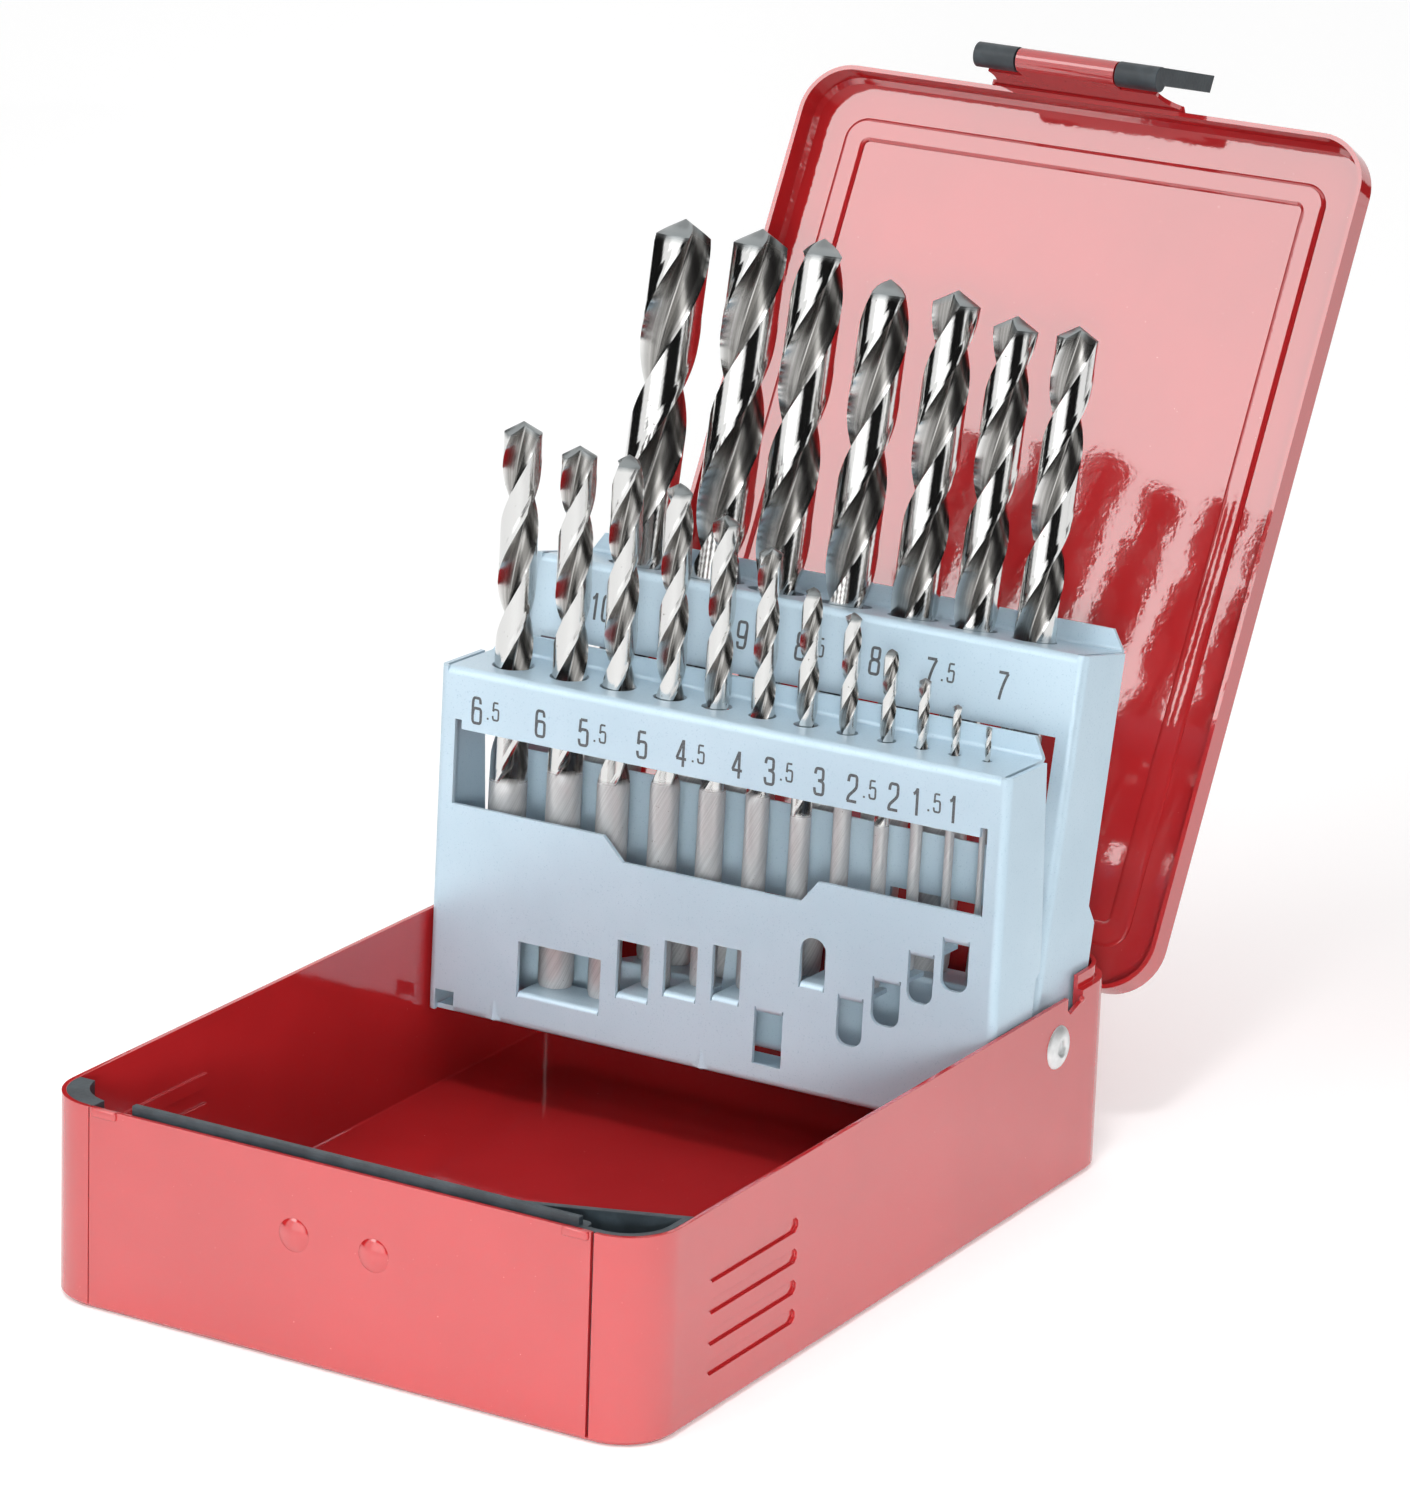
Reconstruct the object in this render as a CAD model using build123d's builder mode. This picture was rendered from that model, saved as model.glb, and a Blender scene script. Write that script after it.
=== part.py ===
from build123d import *
from dataclasses import dataclass
from math import cos, radians, sin, tan
import os

os.makedirs("parts", exist_ok=True)

# Sheet-metal drill case for nineteen twist drills, lid open, racks swung up.
# Millimetres. X runs across the case, Y from front to rear, Z up; the origin is the
# centre of the base's underside.

# ---- case body -------------------------------------------------------------------
CASE_WIDTH = 110.0
CASE_DEPTH = 152.4
BASE_HEIGHT = 33.2
LID_HEIGHT = 6.2
CASE_SHEET = 0.8
CORNER_RADIUS = 9.2
FLOOR_BEND = 0.7
LID_BEND = 1.3
RIM_GAP = 0.3                # between the two rims with the lid shut
LID_OPEN = 118.14            # degrees from shut to the open stop
SEAM_X = 45.3                # folded front corners end here on the front wall
SEAM_OPEN = 0.5
SEAM_TIGHT = 0.15
COLLAR_TOP = 35.5            # rear corners stand up inside the shut lid
COLLAR_FOOT = 29.5
COLLAR_CLEARANCE = 0.3
COLLAR_X = 40.0              # the collars end here on the rear wall
NOTCH_FRONT = 57.1           # steps in the side rims ahead of the collars
NOTCH_REAR = 62.3
NOTCH_DEPTH = 3.0
NOTCH_RISE = 1.3
NOTCH_CORNER = 0.9

# ---- pressed ribs, bead and bumps ---------------------------------------------------
GRIP_HEIGHTS = (22.5, 17.4, 12.3, 7.5)
GRIP_LENGTH = 26.5
GRIP_WIDTH = 2.4
GRIP_NOSE = 0.33             # ends taken off, as a share of a rib's width
GRIP_Y = -44.6
PRESS_DEPTH = 0.5
BEAD_INSET = 7.8             # lid's outer face to the bead
BEAD_WIDTH = 4.2
BEAD_HEIGHT = 0.6
BEAD_SLOPE = 0.45
BUMP_X = 7.2
BUMP_Z = 20.8
BUMP_RADIUS = 2.3
BUMP_HEIGHT = 0.7
BUMP_TAPER = 42.0

# ---- rear hinge ---------------------------------------------------------------------
HINGE_SETBACK = 1.7          # axis behind the rear wall
HINGE_DROP = 6.2             # axis below the base's rim
HINGE_WIDTH = 62.0
KNUCKLES = 3
KNUCKLE_RADIUS = 1.4
KNUCKLE_GAP = 0.3
PIN_RADIUS = 0.7
PIN_FIT = 0.05
LEAF_SHEET = 0.7
BASE_LEAF_LENGTH = 14.0
LID_LEAF_LENGTH = 11.0

# ---- lid tab and latch lever ------------------------------------------------------------
CURL_DROP = 9.6              # curl axis beyond the lid's rim
CURL_RADIUS = 2.1
CURL_HALF = 9.5
TAB_ROOT_HALF = 18.4
TAB_NECK_HALF = 16.4
TAB_CLEARANCE = 0.3          # tab to the front wall
CURL_CLEARANCE = 0.4         # curl to the front wall, which leaves the bumps free
CURL_MOUTH = (15.0, 52.0)    # degrees, where the rolled edge stays open
LEVER_HALF = 17.8
LEVER_REACH = 20.0
LEVER_THICKNESS = 3.2
LEVER_LEAN = 5.6             # plate's far end ahead of its foot
BARREL_RADIUS = 2.2
LEVER_FIT = 0.05             # pin inside the curl
LEVER_CLEARANCE = 0.3

# ---- rivets that carry the racks ---------------------------------------------------------
PIVOT_Y = 54.0
PIVOT_Z = 25.7
RIVET_RADIUS = 2.45
RIVET_BORE = 1.3
RIVET_HEAD_RADIUS = 3.7
RIVET_HEAD_HEIGHT = 1.0
RIVET_FLARE_RADIUS = 3.3
RIVET_FLARE = 0.5
RIVET_FIT = 0.05
WALL_TO_RACK = 0.5
RACK_TO_RACK = 0.3
FLARE_TO_RACK = 0.15

# ---- racks ---------------------------------------------------------------------------------
RACK_SHEET = 0.8
RACK_BEND = 1.5              # outer radius of the folds
FOLD_LAP = 0.1               # flange folds reach this far into the face
TAB_BEND = 1.0               # outer radius of the lanced shelves
HOLE_CLEARANCE = 0.3         # between a drill and its hole, radially
SHELF_REST = 0.05            # a drill's shank above its shelf
SHELF_CHEEK = 0.25           # slit beside each lanced shelf

# ---- black plastic liners in the front of the base ----------------------------------------------
LINER_WALL = 1.2
BAR_LEFT = -38.3
BAR_RIGHT = 42.1
BAR_TOP = 34.4
BAR_HEIGHT = 11.0
BAR_STANDOFF = 0.7           # bar behind the front wall
BAR_BLOCK = 4.0              # length of the end blocks
BLOCK_STEP = 0.9             # blocks end this far below the rim
POCKET_START = (25.3, 2.8)   # x, and distance behind the front wall's inner face
POCKET_REACH = 14.0          # pocket along the side wall, from the front inner face
CRESCENT_THICKNESS = 3.6
CRESCENT_BITE = 7.5          # radius of the hollow side

# ---- twist drills: diameter, overall length, flute length -----------------------------------------
DRILL_LENGTHS = {
    1.0: (34, 12), 1.5: (40, 18), 2.0: (49, 24), 2.5: (57, 30), 3.0: (61, 33),
    3.5: (70, 39), 4.0: (75, 43), 4.5: (80, 47), 5.0: (86, 52), 5.5: (93, 57),
    6.0: (93, 57), 6.5: (101, 63), 7.0: (109, 69), 7.5: (109, 69), 8.0: (117, 75),
    8.5: (117, 75), 9.0: (125, 81), 9.5: (125, 81), 10.0: (133, 87),
}
LEAD_PER_DIAMETER = 6.1
POINT_HALF_ANGLE = 59.0
LAND_HALF_ANGLE = 36.0
WEB_SHARE = 0.3              # flute floor's radius as a share of the drill's
TWIST_STEP = 45.0            # degrees of twist in one facet row

# ---- values that follow --------------------------------------------------------------------------
FRONT_Y = -CASE_DEPTH / 2
REAR_Y = CASE_DEPTH / 2
INNER_X = CASE_WIDTH / 2 - CASE_SHEET
INNER_FRONT_Y = FRONT_Y + CASE_SHEET
INNER_RADIUS = CORNER_RADIUS - CASE_SHEET
HINGE_Y = REAR_Y + HINGE_SETBACK
HINGE_Z = BASE_HEIGHT - HINGE_DROP
FRONT_RACK_HALF = INNER_X - WALL_TO_RACK
REAR_RACK_HALF = FRONT_RACK_HALF - RACK_SHEET - RACK_TO_RACK
MIDDLE_BEND = RACK_BEND - RACK_SHEET / 2
LID_RIM = HINGE_DROP + RIM_GAP            # the following are in the lid's own frame
LID_FRONT = -HINGE_SETBACK - CASE_DEPTH
LID_CENTRE = -HINGE_SETBACK - CASE_DEPTH / 2
CURL_SETOUT = CURL_RADIUS + CURL_CLEARANCE
CURL_Y = LID_FRONT - CURL_SETOUT
CURL_Z = LID_RIM - CURL_DROP


@dataclass
class Window:
    """A lanced window in a rack's face. Its cut-out sheet is folded back as a shelf."""
    left: float
    right: float
    low: float
    high: float
    shelf_on_top: bool = False
    end_radius: float = 0    # rounds the corners of the end away from the shelf


@dataclass
class Rack:
    """A folded sheet rack, sized from its pivot: x across, heights up along the rack."""
    tilt: float              # degrees back from upright
    half: float              # half the outer width
    face: float              # outer face ahead of the pivot
    low: float
    top: float
    floor_depth: float       # bottom plate behind the face
    ledge_depth: float       # face to the rear lip
    lip_height: float
    lip_slant: float
    flange: tuple            # (height, depth behind the face) down the rear edge of the sides
    ear: float               # radius round the pivot
    drill_setback: float     # drill axes behind the face
    corner_notch: float      # side of the squares cut out of the face's lower corners
    corner_relief: float     # radius of the holes where the top's folds meet
    opening: tuple           # outline of the big window in the face
    windows: tuple
    drills: dict             # diameter: (x, height of the shelf it stands on)


FRONT_RACK = Rack(
    tilt=1.93, half=FRONT_RACK_HALF, face=21.0, low=-10.3, top=49.8,
    floor_depth=13.0, ledge_depth=14.3, lip_height=3.5, lip_slant=1.7,
    flange=((49.8, 12.7), (18.0, 15.2), (14.2, 15.2), (13.2, 13.9), (5.0, 13.2)),
    ear=5.0, drill_setback=7.5, corner_notch=3.7, corner_relief=0,
    opening=((-50.3, 26.3), (-20.6, 26.3), (-16.7, 22.4), (17.1, 22.4), (20.2, 26.3),
             (50.3, 26.3), (50.3, 41.0), (49.0, 41.0), (49.0, 39.4), (-49.0, 39.4),
             (-49.0, 41.0), (-50.3, 41.0)),
    windows=(
        Window(-36.1, -19.9, -3.9, 4.9), Window(-16.9, -10.6, -0.1, 9.1),
        Window(-7.9, -1.5, 2.0, 10.8), Window(1.3, 6.7, 3.2, 11.9),
        Window(9.7, 15.1, -6.8, 2.8, True), Window(17.6, 22.4, 8.9, 16.7, False, 2.3),
        Window(25.0, 29.8, -0.2, 8.1, True, 1.9), Window(31.2, 36.4, 4.5, 12.4, True, 1.9),
        Window(37.5, 42.2, 9.6, 18.1, True, 1.9), Window(43.5, 48.4, 12.9, 21.5, True, 1.9),
    ),
    drills={
        6.5: (-44.0, -9.5), 6.0: (-33.0, -3.9), 5.5: (-23.5, -3.9), 5.0: (-13.6, -0.1),
        4.5: (-4.6, 2.0), 4.0: (4.0, 3.2), 3.5: (12.2, 2.8), 3.0: (19.9, 8.9),
        2.5: (27.2, 8.1), 2.0: (33.6, 12.4), 1.5: (39.7, 18.1), 1.0: (45.6, 21.5),
    },
)
REAR_RACK = Rack(
    tilt=11.63, half=REAR_RACK_HALF, face=5.2, low=-10.3, top=64.5,
    floor_depth=16.4, ledge_depth=16.5, lip_height=3.5, lip_slant=2.3,
    flange=((64.5, 14.4), (22.5, 14.4), (19.5, 17.4), (-5.0, 17.4)),
    ear=5.0, drill_setback=9.0, corner_notch=0, corner_relief=0.7,
    opening=((-49.1, 31.0), (49.1, 31.0), (49.1, 50.6), (-49.1, 50.6)),
    windows=(
        Window(-27.2, -5.5, -1.1, 12.6), Window(-1.5, 20.3, 2.0, 15.7),
        Window(23.2, 42.6, 7.4, 21.1),
    ),
    drills={
        10.0: (-37.1, -9.5), 9.5: (-22.2, -1.1), 9.0: (-10.3, -1.1), 8.5: (3.0, 2.0),
        8.0: (15.8, 2.0), 7.5: (27.2, 7.4), 7.0: (38.5, 7.4),
    },
)


# ---- frames ----------------------------------------------------------------------------------
def rack_frame(tilt):
    """The rack's own frame at its pivot: X across, Y backwards, Z up along the rack."""
    lean = radians(tilt)
    up = (0, sin(lean), cos(lean))
    return Plane(origin=(0, PIVOT_Y, PIVOT_Z), x_dir=(1, 0, 0), z_dir=up).location


def lid_frame():
    """The lid's own frame on the hinge axis, in which the lid is drawn shut."""
    swing = radians(LID_OPEN)
    up = (0, sin(swing), cos(swing))
    return Plane(origin=(0, HINGE_Y, HINGE_Z), x_dir=(1, 0, 0), z_dir=up).location


def on(frame, plane):
    """A plane given in a frame's own coordinates."""
    return Plane(frame * plane.location)


def finish(piece, name):
    piece.part.label = name
    export_step(piece.part, f"parts/{name}.step")


# ---- sheet-metal profiles ------------------------------------------------------------------
def bent_strip(plane, points, radii, sheet):
    """Section of a bent sheet, drawn along the middle of its thickness."""
    with BuildSketch(plane) as section:
        with BuildLine():
            FilletPolyline(*points, radius=radii)
        trace(line_width=sheet)
    return section.sketch


def folded_edges(plane, rack):
    """Plan of the two folded corners of a rack with their flanges, as deep as the deepest flange."""
    deepest = max(depth for _, depth in rack.flange)
    rear = max(deepest - rack.face, rack.ear)
    start = (rack.half - RACK_BEND - FOLD_LAP, RACK_SHEET / 2 - rack.face)
    with BuildSketch(plane) as plan:
        with BuildLine():
            lap = Line(start, (rack.half - RACK_BEND, RACK_SHEET / 2 - rack.face))
            corner = JernArc(start=lap @ 1, tangent=(1, 0), radius=MIDDLE_BEND, arc_size=90)
            Line(corner @ 1, (rack.half - RACK_SHEET / 2, rear))
        trace(line_width=RACK_SHEET)
        mirror(about=Plane.YZ)
    return plan.sketch


def flange_outline(plane, rack):
    """Side view of a rack's flange with the ear that turns on the rivet."""
    edge = [(depth - rack.face, height) for height, depth in rack.flange]
    with BuildSketch(plane) as outline:
        with BuildLine():
            Polyline((-rack.face, rack.low), (-rack.face, rack.top), *edge,
                     (edge[-1][0], rack.low), close=True)
        make_face()
        with Locations((-rack.face / 2, 0)):
            Rectangle(rack.face, 2 * rack.ear)
        Circle(rack.ear)
    return outline.sketch


def window_outline(plane, window):
    """Outline of a lanced window, opened by the fold of its shelf."""
    low = window.low if window.shelf_on_top else window.low - TAB_BEND
    high = window.high - RACK_SHEET + TAB_BEND if window.shelf_on_top else window.high
    with BuildSketch(plane) as outline:
        with Locations(((window.left + window.right) / 2, (low + high) / 2)):
            Rectangle(window.right - window.left, high - low)
        if window.end_radius:
            end = 0 if window.shelf_on_top else -1
            fillet(outline.vertices().group_by(Axis.Y)[end], window.end_radius)
    return outline.sketch


def shelf_path(rack, window):
    """Path of a lanced shelf, from the face it is folded out of to its rear edge."""
    front = RACK_SHEET / 2 - rack.face
    depth = max(window.high - window.low, rack.drill_setback + RACK_SHEET)
    rear = depth - rack.face
    if window.shelf_on_top:
        level = window.high - RACK_SHEET / 2
        return [(front, window.high + RACK_BEND), (front, level), (rear, level)]
    level = window.low - RACK_SHEET / 2
    return [(front, window.low - RACK_BEND), (front, level), (rear, level)]


# ---- racks ------------------------------------------------------------------------------------
def build_rack(name, rack):
    frame = rack_frame(rack.tilt)
    side = on(frame, Plane.YZ)
    ledge_half = rack.half - RACK_BEND
    rear = rack.ledge_depth - rack.face
    middle = RACK_SHEET / 2
    body_path = [
        (rack.floor_depth - rack.face, rack.low + middle),
        (middle - rack.face, rack.low + middle),
        (middle - rack.face, rack.top - middle),
        (rear + middle, rack.top - middle),
        (rear + middle, rack.top + rack.lip_height),
    ]
    body = bent_strip(side, body_path, MIDDLE_BEND, RACK_SHEET)
    with BuildPart() as piece:
        bottom = on(frame, Plane.XY.offset(rack.low))
        extrude(folded_edges(bottom, rack), amount=rack.top - rack.low, dir=bottom.z_dir)
        extrude(flange_outline(side, rack), amount=rack.half + 1, both=True, mode=Mode.INTERSECT)
        with BuildSketch(side):
            Circle(RIVET_RADIUS + RIVET_FIT)
        extrude(amount=rack.half + 1, both=True, mode=Mode.SUBTRACT)
        extrude(body, amount=ledge_half, both=True)
        # the rear lip's ends are cut on a slant
        with BuildSketch(on(frame, Plane.XZ.offset(-rear - RACK_SHEET - 1))):
            with BuildLine():
                Polyline(
                    (ledge_half, rack.top), (ledge_half - rack.lip_slant, rack.top + rack.lip_height),
                    (ledge_half, rack.top + rack.lip_height + 1), close=True)
            make_face()
            mirror(about=Plane.YZ)
        extrude(amount=RACK_SHEET + 2, mode=Mode.SUBTRACT)
        # drill holes in the ledge
        with BuildSketch(on(frame, Plane.XY.offset(rack.top + 1))):
            for diameter, (x, _) in rack.drills.items():
                with Locations((x, rack.drill_setback - rack.face)):
                    Circle(diameter / 2 + HOLE_CLEARANCE)
            if rack.corner_relief:
                with Locations((ledge_half, RACK_BEND - rack.face), (-ledge_half, RACK_BEND - rack.face)):
                    Circle(rack.corner_relief)
        extrude(amount=-RACK_SHEET - 2, mode=Mode.SUBTRACT)
        # the big window and the lanced ones
        with BuildSketch(on(frame, Plane.XZ.offset(rack.face + 1))):
            with BuildLine():
                Polyline(*rack.opening, close=True)
            make_face()
            if rack.corner_notch:
                middle_x = ledge_half - FOLD_LAP - rack.corner_notch / 2
                with Locations((middle_x, rack.low), (-middle_x, rack.low)):
                    Rectangle(rack.corner_notch, 2 * rack.corner_notch)
        extrude(amount=-RACK_SHEET - 1.3, mode=Mode.SUBTRACT)
        for window in rack.windows:
            cut = window_outline(on(frame, Plane.XZ.offset(rack.face + 1)), window)
            extrude(cut, amount=-RACK_SHEET - 1.3, mode=Mode.SUBTRACT)
            half = (window.right - window.left) / 2 - SHELF_CHEEK
            across = on(frame, Plane.YZ.offset((window.left + window.right) / 2))
            path = shelf_path(rack, window)
            shelf = bent_strip(across, path, TAB_BEND - RACK_SHEET / 2, RACK_SHEET)
            extrude(shelf, amount=half, both=True)
    finish(piece, name)


# ---- drills -----------------------------------------------------------------------------------
def fluted_length(diameter, length):
    """Right-hand twisted two-flute body with its point, standing on the XY plane."""
    radius = diameter / 2
    point = radius / tan(radians(POINT_HALF_ANGLE))
    straight = length - point
    turn = 360 * straight / (LEAD_PER_DIAMETER * diameter)
    rows = round(turn / TWIST_STEP)
    angles = (-LAND_HALF_ANGLE, LAND_HALF_ANGLE, 90)
    rings = []
    for row in range(rows + 1):
        web = radius * (WEB_SHARE if row else 1)
        ring = []
        for half_turn in (0, 180):
            for angle in angles:
                reach = web if angle == 90 else radius
                heading = radians(angle + half_turn + turn * row / rows)
                height = straight * row / rows
                ring.append((reach * cos(heading), reach * sin(heading), height))
        rings.append(ring)
    tip = (0, 0, length)
    faces = [Face(Wire.make_polygon(rings[0], close=True))]
    count = len(rings[0])
    for low, high in zip(rings, rings[1:]):
        for i in range(count):
            j = (i + 1) % count
            faces.append(Face(Wire.make_polygon([low[i], low[j], high[i]], close=True)))
            faces.append(Face(Wire.make_polygon([low[j], high[j], high[i]], close=True)))
    for i in range(count):
        last = rings[-1]
        faces.append(Face(Wire.make_polygon([last[i], last[(i + 1) % count], tip], close=True)))
    return Solid(Shell(faces))


def build_drill(diameter, x, shelf, rack):
    overall, flute = DRILL_LENGTHS[diameter]
    stand = Location((x, rack.drill_setback - rack.face, shelf + SHELF_REST))
    seat = Plane(rack_frame(rack.tilt) * stand)
    shank = overall - flute
    twist = fluted_length(diameter, flute).moved(Location((0, 0, shank)))
    with BuildPart() as drill:
        with BuildSketch(seat):
            Circle(diameter / 2)
        extrude(amount=shank)
        add(seat.location * twist)
    finish(drill, f"drill_{diameter:.1f}".replace(".", "_"))


# ---- base ---------------------------------------------------------------------------------------
def grip_slots(plane):
    """Four pressed grip ribs on one side wall, seen from outside."""
    with BuildSketch(plane) as slots:
        for height in GRIP_HEIGHTS:
            with Locations((GRIP_Y, height)):
                Rectangle(GRIP_LENGTH, GRIP_WIDTH)
        chamfer(slots.vertices(), GRIP_WIDTH * GRIP_NOSE)
    return slots.sketch


def corner_collars():
    """Walls that carry the two rear corners up inside the shut lid."""
    inner_depth = CASE_DEPTH - 2 * CASE_SHEET
    step = COLLAR_CLEARANCE + CASE_SHEET
    with BuildSketch() as corners:
        middle_x = (COLLAR_X + INNER_X) / 2
        middle_y = (NOTCH_REAR + REAR_Y) / 2
        with Locations((middle_x, middle_y), (-middle_x, middle_y)):
            Rectangle(INNER_X - COLLAR_X, REAR_Y - NOTCH_REAR)
    with BuildPart() as collars:
        for outset, foot, top in ((0, COLLAR_FOOT, BASE_HEIGHT),
                                  (COLLAR_CLEARANCE, BASE_HEIGHT, COLLAR_TOP)):
            with BuildSketch(Plane.XY.offset(foot)):
                RectangleRounded(2 * (INNER_X - outset), inner_depth - 2 * outset, INNER_RADIUS - outset)
                RectangleRounded(2 * (INNER_X - step), inner_depth - 2 * step, INNER_RADIUS - step,
                                 mode=Mode.SUBTRACT)
                add(corners.sketch, mode=Mode.INTERSECT)
            extrude(amount=top - foot)
    return collars.part


def build_base():
    with BuildPart() as base:
        with BuildSketch():
            RectangleRounded(CASE_WIDTH, CASE_DEPTH, CORNER_RADIUS)
        extrude(amount=BASE_HEIGHT)
        chamfer(base.edges().group_by(Axis.Z)[0], FLOOR_BEND)
        rim = base.faces().sort_by(Axis.Z)[-1]
        offset(amount=-CASE_SHEET, openings=rim)
        # grip ribs: grooves outside, ridges inside
        side = Plane.YZ.offset(CASE_WIDTH / 2)
        ridge = Plane.YZ.offset(INNER_X)
        grooves = extrude(grip_slots(side), amount=-PRESS_DEPTH, mode=Mode.PRIVATE)
        ridges = extrude(grip_slots(ridge), amount=-PRESS_DEPTH, mode=Mode.PRIVATE)
        add([ridges, ridges.mirror(Plane.YZ)])
        add([grooves, grooves.mirror(Plane.YZ)], mode=Mode.SUBTRACT)
        # two bumps pressed out of the front wall, which steady the shut latch
        front = Plane.XZ.offset(-FRONT_Y)
        with BuildSketch(front):
            with Locations((-BUMP_X, BUMP_Z), (BUMP_X, BUMP_Z)):
                Circle(BUMP_RADIUS)
        extrude(amount=BUMP_HEIGHT, taper=BUMP_TAPER)
        with BuildSketch(Plane.XZ.offset(-INNER_FRONT_Y)):
            with Locations((-BUMP_X, BUMP_Z), (BUMP_X, BUMP_Z)):
                Circle(BUMP_RADIUS - CASE_SHEET / 2)
        extrude(amount=BUMP_HEIGHT, taper=BUMP_TAPER, mode=Mode.SUBTRACT)
        # seams where the corners end on the front wall
        with BuildSketch(front):
            seam_height = BASE_HEIGHT - FLOOR_BEND + 1
            with Locations((SEAM_X, FLOOR_BEND + seam_height / 2)):
                Rectangle(SEAM_OPEN, seam_height)
            with Locations((-SEAM_X, FLOOR_BEND + seam_height / 2)):
                Rectangle(SEAM_TIGHT, seam_height)
        extrude(amount=-CASE_SHEET - 0.1, mode=Mode.SUBTRACT)
        # rivet holes, and the steps in the side rims
        with BuildSketch(Plane.YZ):
            with Locations((PIVOT_Y, PIVOT_Z)):
                Circle(RIVET_RADIUS)
            with BuildLine():
                floor = BASE_HEIGHT - NOTCH_DEPTH
                Polyline(
                    (NOTCH_FRONT, BASE_HEIGHT + 1), (NOTCH_FRONT, floor + NOTCH_CORNER),
                    (NOTCH_FRONT + NOTCH_CORNER, floor), (NOTCH_REAR, floor + NOTCH_RISE),
                    (NOTCH_REAR, BASE_HEIGHT + 1), close=True)
            make_face()
        extrude(amount=CASE_WIDTH / 2 + 1, both=True, mode=Mode.SUBTRACT)
        add(corner_collars())
    finish(base, "base_shell")


def build_rivets():
    """Tubular rivets: head outside the wall, shank through both racks, flared inner end."""
    wall = CASE_WIDTH / 2
    head = wall + RIVET_HEAD_HEIGHT
    flare = REAR_RACK_HALF - RACK_SHEET - FLARE_TO_RACK
    section_plane = Plane(origin=(0, PIVOT_Y, PIVOT_Z), x_dir=(1, 0, 0), z_dir=(0, -1, 0))
    with BuildPart() as rivets:
        with BuildSketch(section_plane):
            with BuildLine():
                Polyline(
                    (flare - RIVET_FLARE, RIVET_BORE), (head, RIVET_BORE),
                    (head, RIVET_RADIUS), (wall, RIVET_HEAD_RADIUS), (wall, RIVET_RADIUS),
                    (flare, RIVET_RADIUS), (flare - RIVET_FLARE, RIVET_FLARE_RADIUS), close=True)
            make_face()
        revolve(axis=Axis((0, PIVOT_Y, PIVOT_Z), (1, 0, 0)))
        mirror(about=Plane.YZ)
    finish(rivets, "rack_rivets")


def build_liners():
    """Black plastic along the front wall, a pocket in the right corner, a crescent in the left."""
    liner_foot = CASE_SHEET + FLOOR_BEND
    block_top = BASE_HEIGHT - BLOCK_STEP
    bar_front = INNER_FRONT_Y + BAR_STANDOFF
    bar_depth = BAR_STANDOFF + LINER_WALL
    with BuildPart() as bar:
        with BuildSketch(Plane.XY.offset(BAR_TOP - BAR_HEIGHT)):
            with Locations(((BAR_LEFT + BAR_RIGHT) / 2, bar_front + LINER_WALL / 2)):
                Rectangle(BAR_RIGHT - BAR_LEFT, LINER_WALL)
        extrude(amount=BAR_HEIGHT)
        with BuildSketch(Plane.XY.offset(BAR_TOP - BAR_HEIGHT)):
            with Locations((BAR_LEFT + BAR_BLOCK / 2, INNER_FRONT_Y + bar_depth / 2),
                           (BAR_RIGHT - BAR_BLOCK / 2, INNER_FRONT_Y + bar_depth / 2)):
                Rectangle(BAR_BLOCK, bar_depth)
        extrude(amount=block_top - BAR_TOP + BAR_HEIGHT)
    finish(bar, "front_liner_bar")

    start_x, start_depth = POCKET_START
    with BuildSketch(Plane.XY.offset(liner_foot)) as corner:
        RectangleRounded(2 * INNER_X, CASE_DEPTH - 2 * CASE_SHEET, INNER_RADIUS)
        with BuildLine():
            Polyline(
                (start_x, INNER_FRONT_Y - 1), (start_x, INNER_FRONT_Y + start_depth),
                (INNER_X + 1, INNER_FRONT_Y + POCKET_REACH), (INNER_X + 1, INNER_FRONT_Y - 1),
                close=True)
        make_face(mode=Mode.INTERSECT)
        with Locations((0, INNER_FRONT_Y)):
            Rectangle(2 * BAR_RIGHT, 2 * bar_depth, mode=Mode.SUBTRACT)
    with BuildPart() as pocket:
        extrude(corner.sketch, amount=BASE_HEIGHT - liner_foot)
        hollow = offset(corner.sketch, amount=-LINER_WALL, mode=Mode.PRIVATE)
        extrude(hollow.moved(Location((0, 0, LINER_WALL))), amount=BASE_HEIGHT, mode=Mode.SUBTRACT)
    finish(pocket, "corner_liner_right")

    centre = (INNER_RADIUS - INNER_X, INNER_FRONT_Y + INNER_RADIUS)
    shift = (CRESCENT_THICKNESS + CRESCENT_BITE - INNER_RADIUS) * cos(radians(45))
    with BuildPart() as crescent:
        with BuildSketch(Plane.XY.offset(liner_foot)):
            with Locations(centre):
                Circle(INNER_RADIUS)
            with Locations((centre[0] - INNER_RADIUS / 2, centre[1] - INNER_RADIUS / 2)):
                Rectangle(INNER_RADIUS * 1.2, INNER_RADIUS * 1.2, mode=Mode.INTERSECT)
            with Locations((centre[0] + shift, centre[1] + shift)):
                Circle(CRESCENT_BITE, mode=Mode.SUBTRACT)
        extrude(amount=BASE_HEIGHT - liner_foot)
    finish(crescent, "corner_liner_left")


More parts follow.
